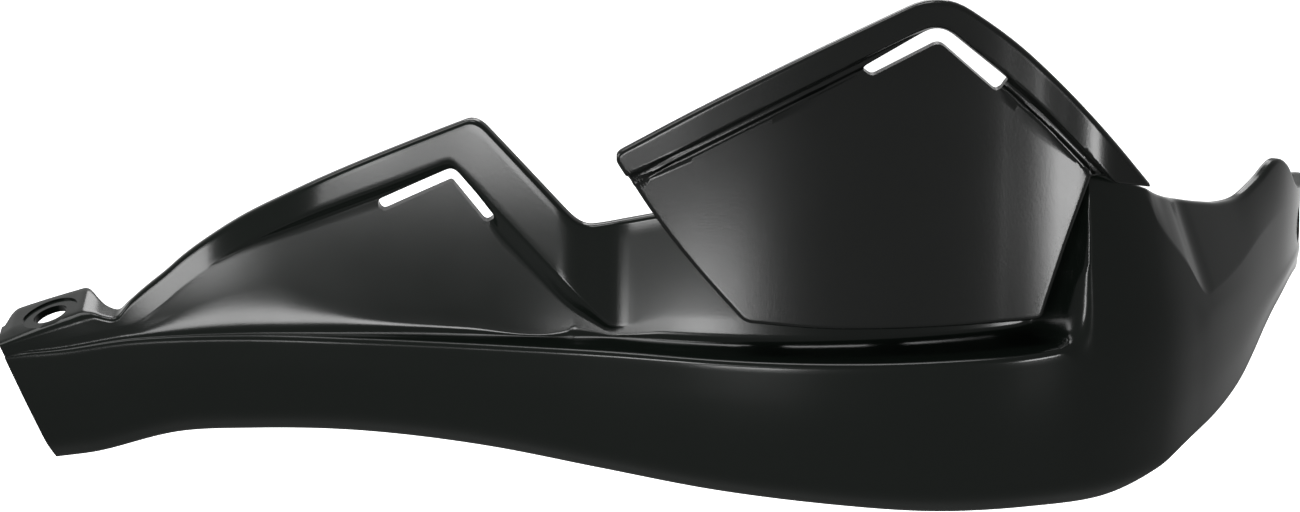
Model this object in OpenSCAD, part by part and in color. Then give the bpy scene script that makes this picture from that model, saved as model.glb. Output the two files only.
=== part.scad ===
// Wrap-around motorcycle hand guard: a one-piece moulded guard body and a separate wind deflector screwed to its front.
// X runs along the handlebar towards the bar end, Y runs back towards the rider, Z is up.
// The origin is the middle of the inner bolt hole, on the seat of its bolt.

/* [Overall size] */
// Length along the handlebar, from the inner end to the bar-end pad
guard_length = 347; // [300:1:390]
// How far the front of the guard stands ahead of the inner bolt
front_reach = 34.5; // [30:0.5:42]
// How far the bar-end bolt lies behind the inner bolt
wrap_depth = 77; // [65:1:92]
// How far the lower edge hangs below the inner bolt
low_drop = 40; // [34:1:48]
// Height of the inner peak above the inner bolt
peak_height = 54; // [46:1:64]

/* [Guard body] */
// Wall of the guard body
wall = 3; // [2.4:0.1:4]
// Depth of the pocket that the deflector stands in
pocket_depth = 12.5; // [9:0.5:15]
// Height of the turned-in strip along the lower edge
roll_height = 5; // [3:0.5:8]
// How far the lower edge turns in
roll_in = 3; // [1:0.5:5]
// Step between the inner peak's rim and its flat panel
rim_step = 2.5; // [1.5:0.1:3.5]
// Width of the inner peak's rim
rim_width = 7; // [5:0.5:10]
// Width of the slot under the inner peak
slot_width = 3.4; // [2:0.1:4]

/* [Inner mount] */
// Bolt hole in the inner flange
bolt_bore = 9; // [6:0.5:11]
// Diameter of the bolt's seat
seat_d = 15; // [12:0.5:18]
// Depth of the bolt's seat
seat_depth = 0.4; // [0.2:0.1:1]
// Thickness of the inner flange
flange_thick = 2.2; // [2:0.1:4]
// How far the flange reaches behind its bolt
flange_reach = 10; // [9:0.5:13]
// Slope of the flange along the bar, in degrees
flange_roll = 18; // [12:1:22]
// Slope of the flange towards the front, in degrees
flange_pitch = 4; // [0:0.5:8]

/* [Bar-end mount] */
// Bolt hole in the bar-end pad
end_bore = 8.5; // [6:0.5:11]
// Radius of the pad's rounded end
pad_radius = 12; // [11.5:0.5:13.5]
// Thickness of the pad at its bolt
pad_thick = 7; // [5:0.5:9]
// Diameter of the recess for the bolt's head
end_recess_d = 18; // [15:0.5:20]
// Depth of that recess
end_recess_depth = 2; // [1:0.5:3]

/* [Deflector] */
// Wall of the deflector
deflector_wall = 2.5; // [2:0.1:3]
// Distance from the pocket's wall to the deflector's face
deflector_standoff = 7; // [6:0.5:9]
// Height of the deflector's peak above the inner bolt
deflector_height = 90; // [78:1:104]
// How far the rim stands out from the panel
deflector_rim = 3; // [2:0.1:4]
// Width of the rim
deflector_rim_width = 6.5; // [5:0.5:9]
// Extra forward flare of the rim at its outer wing
wing_flare = 1.5; // [1:0.5:3]
// Height of the fine bead beside the rim
bead_height = 0.6; // [0.4:0.1:1]

/* [Deflector screws] */
// Diameter of the screws
screw_d = 5; // [4:0.5:6]
// Length of the screws under the head
screw_length = 10; // [9.5:0.5:11]
// Diameter of the screw heads
head_d = 9; // [7:0.5:10]
// Height of the screw heads
head_height = 3.2; // [2.4:0.2:4]
// Outer diameter of the washers
washer_d = 12; // [10:0.5:13]
// Thickness of the washers
washer_thick = 1; // [0.8:0.1:1.6]
// Outer diameter of the deflector's screw bosses
boss_d = 9; // [8:0.5:11]
// Clearance between pieces that meet
clearance = 0.2; // [0.1:0.05:0.4]

/* [Hidden] */
body_colour = [0.10, 0.11, 0.10];
deflector_colour = [0.20, 0.20, 0.19];
steel_colour = [0.62, 0.63, 0.64];
round_fn = 48;
cut_reach = 200;

// Shape tables hold values for a guard of the nominal size, which these factors stretch
inner_end = 14;
station_step = 4.2;
along_k = guard_length / 347;
reach_k = front_reach / 34.5;
wrap_k = wrap_depth / 77;
drop_k = low_drop / 40;
rise_k = peak_height / 54;
crest_base = 42;
crest_k = (deflector_height - crest_base * rise_k) / (90 - crest_base);

// Plan curve of the band: station in percent, along the bar, behind the inner bolt
plan_shape = [[0, -14, -9.5], [8, 21.6, -9], [15, 51, -10], [22, 80.4, -12.5], [29, 109.8, -17],
    [36, 139.2, -22.5], [43, 168.6, -28], [50, 198, -32.3], [57, 227.4, -34.5], [62, 248.4, -33.7],
    [66.5, 266.5, -29], [71, 282.7, -19.4], [75, 294, -6.2], [80, 305.5, 11.5], [85, 315.5, 30.5],
    [90, 324, 50], [95, 330, 70.5], [100, 333, 92]];
// Height of the lower edge
low_shape = [[0, -37], [3.5, -35.4], [9.5, -30.2], [15, -28.8], [20, -28.4], [25, -29.2], [30, -31], [36, -34.4],
    [43, -38.2], [50, -40.4], [56, -41.4], [62, -40.4], [67, -39.3], [71, -34.6], [73, -31.6], [75, -29.8],
    [77, -28.4], [79, -26.6], [81, -24], [83, -20], [85, -15.8], [87, -12.9], [90, -10.8], [92, -10.8], [95, -12.8],
    [100, -12.8]];
// Height of the crease along the top of the band
crease_shape = [[0, -8], [3.5, -6.8], [8, -4], [15, -2.4], [22, -2.2], [30, -1.8], [37, -1.4], [45, -1.6],
    [52, -0.8], [58, 0.8], [63, 2.6], [66, 5], [70, 6], [100, 0]];
// Depth of the upper wall behind the crease
recess_shape = [[0, 0.6], [5, 1], [10, 1.6], [17, 3], [24, 4.5], [31, 6], [38, 8], [46, 9.6], [53, 11.2], [60, 12.3],
    [63, 12.5], [100, 12.5]];
// The bulge's flank closes the pocket: the station where it starts at the shelf, how far that moves outward for each
// millimetre of height, so that it runs along the deflector's edge, and the station where it ends
flank_start = 61.6;
flank_slant = 0.076;
flank_end = 65.9;
// Backward lean of the upper wall, in millimetres per millimetre of height
lean_shape = [[0, 0.1], [24, 0.12], [50, 0.12], [62, 0.18], [66, 0.2], [80, 0.2], [86, 0.14], [92, 0.04], [100, 0]];
// Softness of the corner where the shelf meets the upper wall
hollow_shape = [[0, 10], [16, 14], [24, 8], [30, 3], [34, 2], [37, 7], [60, 8], [66, 8], [100, 8]];
// Height of the rising edge of the inner peak
rise_shape = [[0, -6.4], [4, -1.5], [6.2, 0.8], [7, 1.8], [7.6, 4.4], [8.7, 8.6], [10, 13], [11.1, 17], [12.4, 21], [14.8, 27.6],
    [17.2, 33.2], [19.6, 38.4], [24.2, 47.2], [28.6, 55.2], [34, 64], [100, 150]];
// Height of the upper edge from the notch to the bar-end pad
top_shape = [[0, -100], [26, 12], [31, 26.6], [36, 28.7], [40, 32.2], [50, 38], [60, 44], [66, 45.5], [68.3, 42.4], [71, 38.2],
    [73, 34.6], [75, 31.2], [77, 28.4], [79, 25.8], [81, 23.5], [83.4, 22.2], [86, 23.8], [88.6, 26.4], [90.2, 23],
    [91.8, 16.4], [93.4, 12.2], [95, 11.5], [100, 11.5]];
// Height of the crease that runs down the bulge and up the arm in a wide V
valley_shape = [[37, 5], [60, 8], [64, 12], [66, 22], [68, 34], [70.4, 37], [71.6, 29], [74, 17], [75.6, 7], [77, 6.5],
    [80.5, 8], [85, 11.5], [90, 12.5], [100, 6]];
// The inner peak's falling edge: the station and height where it starts, how steeply it falls, and how much
// wider the rim is there than on the rising edge
peak_station = 28.9;
fall_start = 53.9;
fall_slope = 4.36;
fall_rim_k = 2.55;

// Cubic curve through a table's key values
function slope(tab, k) = let (a = tab[max(k - 1, 0)], b = tab[min(k + 1, len(tab) - 1)]) (b - a) / (b[0] - a[0]);
function span_at(tab, s, i = 0) = i >= len(tab) - 2 || tab[i + 1][0] >= s ? i : span_at(tab, s, i + 1);
function curve(tab, s) =
    let (i = span_at(tab, s), a = tab[i], b = tab[i + 1], w = b[0] - a[0], t = min(max((s - a[0]) / w, 0), 1))
    (2 * t^3 - 3 * t^2 + 1) * a + (t^3 - 2 * t^2 + t) * w * slope(tab, i)
    + (3 * t^2 - 2 * t^3) * b + (t^3 - t^2) * w * slope(tab, i + 1);
function smooth(t) = let (c = min(max(t, 0), 1)) c * c * (3 - 2 * c);
function mix(a, b, t) = a + (b - a) * t;
// The lower and the higher of two values, with the corner between them rounded over r
function soft_min(a, b, r) = min(a, b) - max(r - abs(a - b), 0)^2 / (4 * r);
function soft_max(a, b, r) = max(a, b) + max(r - abs(a - b), 0)^2 / (4 * r);

// Stretching of the nominal values
function stretch_y(y) = y < 0 ? y * reach_k : y * wrap_k;
function stretch_z(z) = z < 0 ? z * drop_k : z * rise_k;
plan_curve = [for (p = plan_shape) [p[0], (p[1] + inner_end) * along_k - inner_end, stretch_y(p[2])]];
function plan_at(s) = let (p = curve(plan_curve, s)) [p[1], p[2]];
function outward(s) = let (d = plan_at(s + 0.1) - plan_at(s - 0.1)) [d[1], -d[0]] / norm(d);
function station(x) = (x + 12) / station_step;

function low_z(s) = stretch_z(curve(low_shape, s)[1]);
function crease_z(s) = stretch_z(curve(crease_shape, s)[1]);
function pocket(s) = lookup(s, recess_shape) * pocket_depth / 12.5;
function flank(s, z) =
    let (start = flank_start + flank_slant * max(z, 0))
    1 - smooth((s - start) / (flank_end - start));
function recess(s, z) = pocket(s) * flank(s, z);
// Past the pocket the crease fades into the bulge: it spreads this far down and up
fade_down = 5;
fade_up = 9;
function faded(s) = smooth((s - 63.5) / 3);
function lean(s) = lookup(s, lean_shape);
function fall_z(s) = fall_start - fall_slope * (s - peak_station);
function top_z(s) = stretch_z(soft_max(soft_min(curve(rise_shape, s)[1], fall_z(s), 4), curve(top_shape, s)[1], 3));
// Inner edge of the rim: it follows the peak's two edges inside them, then drops to the shelf
function rim_z(s) =
    let (rising = stretch_z(curve(rise_shape, s)[1]) - rim_width - 1.6 * smooth((s - 15) / 10),
        falling = stretch_z(fall_z(s)) - rim_width * fall_rim_k,
        peak = soft_min(rising, falling, 2),
        foot = min(4, (top_z(s) - crease_z(s)) * 0.6))
    min(soft_max(peak, crease_z(s) + foot, 2), top_z(s) - 1);
function rim_here(s) = smooth((s - 12.5) / 7) * (1 - smooth((s - 34.5) / 2));
// Height of the fourth row: the recessed panel's upper edge, and past the peak the crease of the wide V
function panel_z(s) = rim_z(s) - 0.4 - 2.4 * rim_here(s) * (1 + 1.4 * smooth((s - 28.6) / 1.5));
function valley_z(s) = stretch_z(curve(valley_shape, s)[1]);
function feature_z(s) = mix(panel_z(s), valley_z(s), smooth((s - 37) / 3));
function feature_top_z(s) = mix(rim_z(s), valley_z(s) + 2, smooth((s - 37) / 3));
// Extra lean of the arm's upper facet
function facet_lean(s, z) = 0.22 * smooth((s - 69) / 4) * (1 - smooth((s - 82) / 8)) * max(z - valley_z(s), 0);

function wall_h(s, z) = -recess(s, z) - lean(s) * max(z, 0) - facet_lean(s, z);
// The wall is measured across the band, so it is taken wider where it turns across the band in the flank
function wall_at(s, z, w) = w * (1 + 2.4 * flank(s, z) * (1 - flank(s, z)));

// A corner rounded by r, as n + 1 points
function rounded(a, b, c, r, n) =
    let (ra = min(r, norm(a - b) * 0.45) / max(norm(a - b), 0.001), rc = min(r, norm(c - b) * 0.45) / max(norm(c - b), 0.001),
        p = b + (a - b) * ra, q = b + (c - b) * rc)
    [for (i = [0 : n]) let (t = i / n) (1 - t)^2 * p + 2 * t * (1 - t) * b + t^2 * q];

// The flange is the wall's own upper end, turned back over the first stretch of the bar. It is flat up to flange_flat
// and fades into the dip beside the inner peak
flange_flat = 9;
// Height of its upper side at the bolt's line past there, for this slope
dip_roll = 18;
dip_shape = [[flange_flat, 3.3], [12, 3.1], [14.5, 2.1], [17, 1.6], [19, 2], [21.5, 4], [24, 6]];
// How far it reaches behind the bolt's line, as a share of its full reach
back_shape = [[-14, 0.45], [-12.8, 0.72], [-11.4, 0.92], [-9.4, 1], [7, 1], [9.2, 0.9], [10.8, 0.65], [12.4, 0.36],
    [14.5, 0.14], [17, 0], [20, -0.2], [23, -0.44], [26, -0.6]];
upright = cos(flange_roll) * cos(flange_pitch);
function flange_z(x) = x > flange_flat ? curve(dip_shape, x)[1] * tan(flange_roll) / tan(dip_roll)
    : x * tan(flange_roll) + seat_depth / upright;
function flange_tilt(x) = tan(flange_pitch) / cos(flange_roll) * (1 - smooth((x - flange_flat) / 7));
// Shares of the flange that are left along the bar: its height, its thickness and its reach
function flange_height_left(x) = 1 - smooth((x - 15) / 7);
function flange_thick_left(x) = 1 - smooth((x - flange_flat) / 10);
function flange_reach_left(x) = 1 - smooth((x - 20) / 6);
// Rounding of the front upper edge, and the thickness that is left of it elsewhere
function nose_round(x) = mix(2.9, 1.2, smooth((x - 6) / 8));
edge_round = 0.8;
flange_fillet = 3;

// Section of the guard at a station, as [out, up] points from the lower edge to the upper edge; w is 0 outside
function section(s, w) =
    let (at = plan_at(s), x = at[0], zb = low_z(s), step = rim_step * rim_here(s), turn = 1 - smooth((s - 64) / 9),
        fade = faded(s), top = mix(top_z(s), flange_z(x), flange_height_left(x)), tilt = flange_tilt(x),
        top_h = wall_h(s, top) + step, rear_h = top_h - wall_at(s, top, wall),
        reach_h = at[1] - curve(back_shape, x)[1] * flange_reach,
        back_h = min(mix(rear_h, reach_h, flange_reach_left(x)), rear_h),
        nose = [top_h, top + tilt * (at[1] - top_h)], tail = [back_h, top + tilt * (at[1] - back_h)],
        thick = [0, mix(edge_round, flange_thick / upright, flange_thick_left(x))],
        corner = [rear_h, nose[1] - thick[1] - 1 + flange_reach_left(x)],
        zr = min(feature_top_z(s), w > 0 ? corner[1] - 0.6 : nose[1] - 1),
        zf = min(feature_z(s), zr - 0.4),
        shelf_z = min(crease_z(s) + 0.6 + fade_up * fade, feature_z(s) - 0.8),
        drop = w * min(recess(s, shelf_z) / 4, 1),
        zs = min(shelf_z - drop, zf - 0.4),
        edge = [-roll_in * turn - w * 0.9, zb],
        roll = [-w, zb + roll_height * (0.4 + 0.6 * turn)],
        crease = [-w, min(crease_z(s) - fade_down * fade - drop, zs - 0.4)],
        shelf = [wall_h(s, zs) - wall_at(s, zs, w), zs],
        panel = [wall_h(s, zf) - wall_at(s, zf, w), zf],
        rim = [wall_h(s, zr) + step - wall_at(s, zr, w), zr],
        low = mix(roll, crease, 0.5) + [0.5, 0],
        end = w > 0 ? corner : nose,
        foot = rounded(crease, shelf, panel, lookup(s, hollow_shape), 3),
        brow = rounded(shelf, panel, rim, 0.7, 1),
        lip = rounded(panel, rim, end, 0.7, 1),
        turned = w > 0 ? rounded(rim, corner, tail - thick, flange_fillet, 3) : rounded(rim, nose, tail, nose_round(x), 3))
    concat([edge], rounded(edge, roll, low, 2.5, 2), [low], rounded(low, crease, shelf, mix(1.2, 8, fade), 2),
        foot, [on_wall(s, w, foot[3], brow[0], 1 / 3), on_wall(s, w, foot[3], brow[0], 2 / 3)], brow,
        lip, [mix(lip[1], turned[0], 0.5)], turned,
        w > 0 ? rounded(corner, tail - thick, tail, 0.4, 1) : rounded(nose, tail, tail - thick, edge_round, 1));
// A point part of the way up from a to b, bowed as the flank is
function on_wall(s, w, a, b, t) =
    let (z = mix(a[1], b[1], t), bow = wall_h(s, z) - mix(wall_h(s, a[1]), wall_h(s, b[1]), t))
    [mix(a[0], b[0], t) + bow, z];

// The stations lie closer where the form turns sharply
stations = concat([0, 0.2, 0.45, 0.8, 1.3], [for (s = [2 : 1 : 4]) s], [for (s = [4.8 : 0.4 : 9.2]) s], [10, 11, 12], [for (s = [13.2 : 1.2 : 26.5]) s], [for (s = [27 : 0.5 : 36.6]) s],
    [for (s = [37.5 : 1.6 : 61]) s], [for (s = [61.8 : 0.45 : 66.4]) s], [for (s = [67 : 0.8 : 77]) s], [for (s = [78 : 1.1 : 100.1]) s]);

// The end edge slopes: the lower corner lies further out along the bar than the upper one
end_slant = 14;
// The flange's end is square instead, and set back by end_back
end_back = 1.4;
function shell_point(s, h, z) =
    let (p = plan_at(s), n = outward(s), slant = end_slant * max(-z, 0) / 35 * max(1 - s / 14, 0),
        in_flange = smooth((-h - wall) / wall) * smooth((z - low_z(s)) / 12 - 1),
        shift = mix(slant, end_back * max(1 - s, 0), in_flange))
    [p[0] + n[0] * h + shift, p[1] + n[1] * h, z];
function skin(w) = [for (s = stations) [for (p = section(s, w)) shell_point(s, p[0], p[1])]];

// Faces of a closed shell between an outer and an inner grid
function quad(a, b, c, d) = [[a, b, c], [a, c, d]];
function shell_faces(cols, rows) =
    let (half = cols * rows)
    concat(
        [for (i = [0 : cols - 2], j = [0 : rows - 2]) each quad(i * rows + j, i * rows + j + 1,
            (i + 1) * rows + j + 1, (i + 1) * rows + j)],
        [for (i = [0 : cols - 2], j = [0 : rows - 2]) each quad(half + i * rows + j, half + (i + 1) * rows + j,
            half + (i + 1) * rows + j + 1, half + i * rows + j + 1)],
        [for (i = [0 : cols - 2]) each quad(i * rows, (i + 1) * rows, half + (i + 1) * rows, half + i * rows)],
        [for (i = [0 : cols - 2]) let (j = rows - 1) each quad(i * rows + j, half + i * rows + j,
            half + (i + 1) * rows + j, (i + 1) * rows + j)],
        [for (j = [0 : rows - 2]) each quad(j, half + j, half + j + 1, j + 1)],
        [for (j = [0 : rows - 2]) let (i = (cols - 1) * rows) each quad(i + j, i + j + 1, half + i + j + 1, half + i + j)]);
module shell(outer, inner) {
    polyhedron(points = concat([for (c = outer) each c], [for (c = inner) each c]),
        faces = shell_faces(len(outer), len(outer[0])), convexity = 8);
}

// A slot with round ends, cut along Y through points given as [x, z]
module slot(path, w) {
    rotate([90, 0, 0])
        linear_extrude(cut_reach, center = true)
            union() {
                for (i = [0 : len(path) - 2])
                    let (d = path[i + 1] - path[i])
                        translate(path[i])
                            rotate(atan2(d[1], d[0]))
                                translate([0, -w / 2])
                                    square([norm(d), w]);
                for (p = path)
                    translate(p)
                        circle(d = w, $fn = round_fn);
            }
}

// Corners of the slot under the inner peak, as [along, up]
peak_slot = [[86.6, 31.6], [103.8, 40], [112.3, 29.8]];

// Where the bar-end bolt goes: the pad's middle
pad_station = 96.5;
pad_x = plan_at(pad_station)[0];
pad_z = -0.5;
// How far the bearing ring round the bolt's recess reaches beyond it
bearing_ring = 3;

// Two gussets stiffen the flange from below. They are rooted in the middle of the wall and of the flange
gusset_x = [-9, 10.4];
gusset_thick = 1.8;
gusset_height = 7;
gusset_depth = 8;
module gussets() {
    for (x = gusset_x)
        let (s = station(x), root = plan_at(s)[1] - wall_h(s, 0) + wall / 2,
            under = flange_z(x) + flange_tilt(x) * root - flange_thick / 2)
            translate([x, 0, 0])
                rotate([90, 0, 90])
                    linear_extrude(gusset_thick, center = true)
                        polygon([[root, under], [root, under - gusset_height], [root + wall / 2 + 0.8, under - gusset_height],
                            [root + gusset_depth, under - flange_thick / 2 - 0.6], [root + gusset_depth, under]]);
}
module along_inner_bolt() {
    rotate([flange_pitch, -flange_roll, 0])
        children();
}

module guard_body() {
    color(body_colour)
        difference() {
            union() {
                shell(skin(0), skin(wall));
                gussets();
                for (at = screw_at)
                    screw_pad(at);
                // the pad's thicker middle, which the bar end bears on
                translate([pad_x - pad_thick, wrap_depth, pad_z])
                    rotate([0, 90, 0])
                        cylinder(h = pad_thick - end_recess_depth, d = end_recess_d + 2 * bearing_ring, $fn = round_fn);
            }
            // the bar-end pad's rounded end
            translate([pad_x, wrap_depth, pad_z])
                rotate([0, 90, 0])
                    difference() {
                        translate([-cut_reach / 2, 0, -cut_reach / 2])
                            cube(cut_reach);
                        cylinder(h = cut_reach + 2, r = pad_radius, center = true, $fn = round_fn);
                    }
            slot([for (p = peak_slot) [spread(p[0]), stretch_z(p[1])]], slot_width);
            // screw holes, each with a flat seat for its washer behind the wall
            for (at = screw_at) {
                along_y(at, seat_y(at) - screw_length)
                    cylinder(h = 2 * screw_length, d = screw_d + hole_play, $fn = round_fn);
                along_y(at, seat_y(at) + pad_depth)
                    cylinder(h = screw_length, d = washer_d + 2 * washer_room, $fn = round_fn);
            }
            // inner bolt and its seat
            along_inner_bolt() {
                cylinder(h = 4 * flange_thick, d = bolt_bore, center = true, $fn = round_fn);
                cylinder(h = 2 * flange_reach, d = seat_d, $fn = round_fn);
            }
            // bar-end bolt and the recess for its head
            translate([pad_x, wrap_depth, pad_z])
                rotate([0, 90, 0]) {
                    cylinder(h = 4 * pad_thick, d = end_bore, center = true, $fn = round_fn);
                    translate([0, 0, -end_recess_depth])
                        cylinder(h = pad_thick, d = end_recess_d, $fn = round_fn);
                }
        }
}

// Deflector. Its outline is a list of corners as [along, up, corner radius]
deflector_corners = [[143.8, 50, 3], [165, 62.6, 12], [190, 76.2, 12], [223.6, 93, 9], [241, 81.4, 12], [254, 69.2, 12],
    [265, 57.4, 12], [276.8, 42.4, 1.2], [261.8, 45.8, 1], [256.4, 30, 12], [250.2, 9.4, 1.5], [220, 7.2, 12],
    [198, 6.4, 12], [176.6, 7.6, 2], [164, 21.4, 12], [154, 34, 12]];
// How much further forward the face sweeps than the pocket's wall, over the distance along the bar
sweep_shape = [[120, 0], [200, 0.2], [240, 0.8], [254, 1.8], [262, 2.6], [270, 3], [280, 4]];
// Backward lean of the face, in millimetres per millimetre above the pivot height
deflector_lean = 0.08;
lean_pivot = 5;
// The wing stands this far behind the band's face, so that it clears the bulge whatever the pocket's depth is
wing_set = 5.5;

function crest_z(z) = z <= crest_base ? z * rise_k : crest_base * rise_k + (z - crest_base) * crest_k;
function spread(x) = (x + inner_end) * along_k - inner_end;
function loop_rounded(c) =
    [for (i = [0 : len(c) - 1])
        let (a = c[(i + len(c) - 1) % len(c)], b = c[i], d = c[(i + 1) % len(c)])
        each rounded([a[0], a[1]], [b[0], b[1]], [d[0], d[1]], b[2], 5)];
deflector_outline = [for (p = loop_rounded(deflector_corners)) [spread(p[0]), crest_z(p[1])]];

// Upper edge of the deflector over the nominal x, and how much steeper than level it runs
function left_edge(x) = 49 + (x - 143.8) * 0.575 - (x - 143.8)^2 * 0.0004;
function right_edge(x) = 93 - (x - 223.6) * 0.7 - (x - 223.6)^2 * 0.0053;
function crest_edge(x) = soft_min(left_edge(x), right_edge(x), 5);
function edge_stretch(x) = mix(1.14, 1.42, smooth((x - 216) / 16));

// How far the face stands out at a distance in from the upper edge: the rim, its foot, a groove and a fine bead
function relief(x, d) =
    let (w = deflector_rim_width, foot = 1 - smooth((d - w + 1.4) / 2))
    foot * (deflector_rim + wing_flare * smooth((x - 248) / 20))
    + bead_height * smooth((d - w - 1.4) / 0.7) * (1 - smooth((d - w - 2.4) / 0.7));
function deflector_y(x, z, d = 30) =
    let (s = station(x), set = mix(pocket(s) - deflector_standoff, wing_set, smooth((x - 248) / 14)))
    plan_at(s)[1] + min(set, pocket(s) - deflector_standoff) - lookup(x, sweep_shape)
    + deflector_lean * (z - lean_pivot) - relief(x, d);

// Distances of the rows in from the upper edge, for a rim of this width: those past its foot move with it
nominal_rim = 6.5;
rim_rows = [-2, 0, 2.5, 4.8, 5.6, 6.4, 7.2, 7.9, 8.6, 9.1, 9.8];
panel_rows = [0.15, 0.35, 0.6, 0.8, 1];
deflector_columns = concat([for (x = [141 : 4 : 213]) x], [for (x = [216 : 2 : 234]) x], [for (x = [237 : 3 : 282]) x]);
function deflector_skin(back) =
    [for (x = deflector_columns)
        let (edge = crest_edge(x), k = edge_stretch(x), w = deflector_rim_width - nominal_rim,
            last = edge - 9.8 * k,
            up = concat([for (d = rim_rows) [edge - (d + (d > 4 ? w : 0)) * k, d + (d > 4 ? w : 0)]],
                [for (t = panel_rows) [mix(last, 3, t), 30]]))
        [for (i = [len(up) - 1 : -1 : 0])
            [spread(x), deflector_y(x, up[i][0], up[i][1]) + back, crest_z(up[i][0])]]];

// Corners of the deflector's slot, as [along, up, corner radius]
deflector_slot = [[204.6, 73.2, 1.4], [223.4, 84.6, 4], [240.6, 70.8, 1.3], [237.6, 67.4, 1.3],
    [223.4, 79.8, 2], [207, 71, 1.4]];

// Screws that hold the deflector, as [along, up]: left, right and top
screw_at = [[181, 15], [243, 15], [211, 28]];
hole_play = 0.5;
washer_room = 1.5;
// Thickness of a screw's pad, how far it stands out in front, and how much wider than the washer it is
pad_depth = 4.5;
pad_front = 0.8;
pad_room = 1.5;
// How far a boss's hole goes past the screw's tip, and how far a boss sinks into the deflector's wall
tip_room = 0.3;
boss_root = 1;
tip_chamfer = 0.6;
// Where a pad's front face lies: just proud of the pocket's wall
function seat_y(at) =
    let (s = station(at[0]))
    plan_at(s)[1] - wall_h(s, stretch_z(at[1])) - pad_front;
module along_y(at, y) {
    translate([spread(at[0]), y, stretch_z(at[1])])
        rotate([-90, 0, 0])
            children();
}
// The pad moulded on the guard's wall, flat on both sides
module screw_pad(at) {
    along_y(at, seat_y(at))
        cylinder(h = pad_depth, d = washer_d + pad_room, $fn = round_fn);
}

module deflector() {
    color(deflector_colour)
        difference() {
            union() {
                intersection() {
                    shell(deflector_skin(0), deflector_skin(deflector_wall));
                    rotate([90, 0, 0])
                        linear_extrude(cut_reach, center = true)
                            polygon(deflector_outline);
                }
                for (at = screw_at)
                    let (front = deflector_y(at[0], at[1]) + boss_root)
                        along_y(at, front)
                            cylinder(h = seat_y(at) - clearance - front, d = boss_d, $fn = round_fn);
            }
            rotate([90, 0, 0])
                linear_extrude(cut_reach, center = true)
                    polygon([for (p = loop_rounded(deflector_slot)) [spread(p[0]), crest_z(p[1])]]);
            for (at = screw_at)
                let (tip = screw_length - washer_thick - pad_depth + tip_room)
                    along_y(at, seat_y(at) - tip)
                        cylinder(h = 2 * screw_length, d = screw_d + clearance, $fn = round_fn);
        }
}

module screw(at) {
    color(steel_colour)
        along_y(at, seat_y(at) + pad_depth + washer_thick) {
            difference() {
                union() {
                    cylinder(h = head_height * 0.5, d = head_d, $fn = round_fn);
                    translate([0, 0, head_height * 0.5])
                        cylinder(h = head_height * 0.5, d1 = head_d, d2 = head_d * 0.72, $fn = round_fn);
                }
                // the hexagon socket
                translate([0, 0, head_height * 0.4])
                    cylinder(h = head_height, d = screw_d * 0.7, $fn = 6);
            }
            // the shank, with a chamfered tip
            translate([0, 0, tip_chamfer - screw_length])
                cylinder(h = screw_length - tip_chamfer, d = screw_d, $fn = round_fn);
            translate([0, 0, -screw_length])
                cylinder(h = tip_chamfer, d1 = screw_d - 2 * tip_chamfer, d2 = screw_d, $fn = round_fn);
        }
}

module washer(at) {
    color(steel_colour)
        along_y(at, seat_y(at) + pad_depth)
            difference() {
                cylinder(h = washer_thick, d = washer_d, $fn = round_fn);
                translate([0, 0, -1])
                    cylinder(h = washer_thick + 2, d = screw_d + hole_play, $fn = round_fn);
            }
}

guard_body();
deflector();
screw(screw_at[0]);  // left_screw
screw(screw_at[1]);  // right_screw
screw(screw_at[2]);  // top_screw
washer(screw_at[0]);  // left_washer
washer(screw_at[1]);  // right_washer
washer(screw_at[2]);  // top_washer
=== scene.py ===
import math

import bpy
import numpy as np
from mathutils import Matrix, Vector


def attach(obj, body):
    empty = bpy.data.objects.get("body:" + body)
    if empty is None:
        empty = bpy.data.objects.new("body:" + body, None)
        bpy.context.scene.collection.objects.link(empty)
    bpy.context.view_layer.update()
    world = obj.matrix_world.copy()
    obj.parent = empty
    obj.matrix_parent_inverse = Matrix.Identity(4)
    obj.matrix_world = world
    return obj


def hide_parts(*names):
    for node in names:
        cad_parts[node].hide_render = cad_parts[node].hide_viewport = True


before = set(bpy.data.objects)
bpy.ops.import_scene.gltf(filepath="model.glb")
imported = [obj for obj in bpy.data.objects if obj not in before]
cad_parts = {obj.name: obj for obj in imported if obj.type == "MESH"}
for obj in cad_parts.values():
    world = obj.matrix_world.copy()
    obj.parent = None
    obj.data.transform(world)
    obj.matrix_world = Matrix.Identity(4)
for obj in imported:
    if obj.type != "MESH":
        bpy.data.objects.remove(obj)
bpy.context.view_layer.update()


# ---- Guard body ----
# The one-piece moulded guard in glossy black plastic: a closed wall section, lofted along the plan
# curve from the inner end to the bar end, with the inner flange, the deflector's pocket, the pads
# for its screws and the two bolt holes. Sizes are in millimetres until meshed.
WALL = 3.0
ROLL_HEIGHT, ROLL_IN = 5.0, 3.0
RIM_STEP, RIM_WIDTH, RIM_WIDER = 2.5, 7.0, 1.6
PEAK_ROUND, PEAK_FOOT_ROUND, RIM_ROUND = 4, 3, 2

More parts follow.
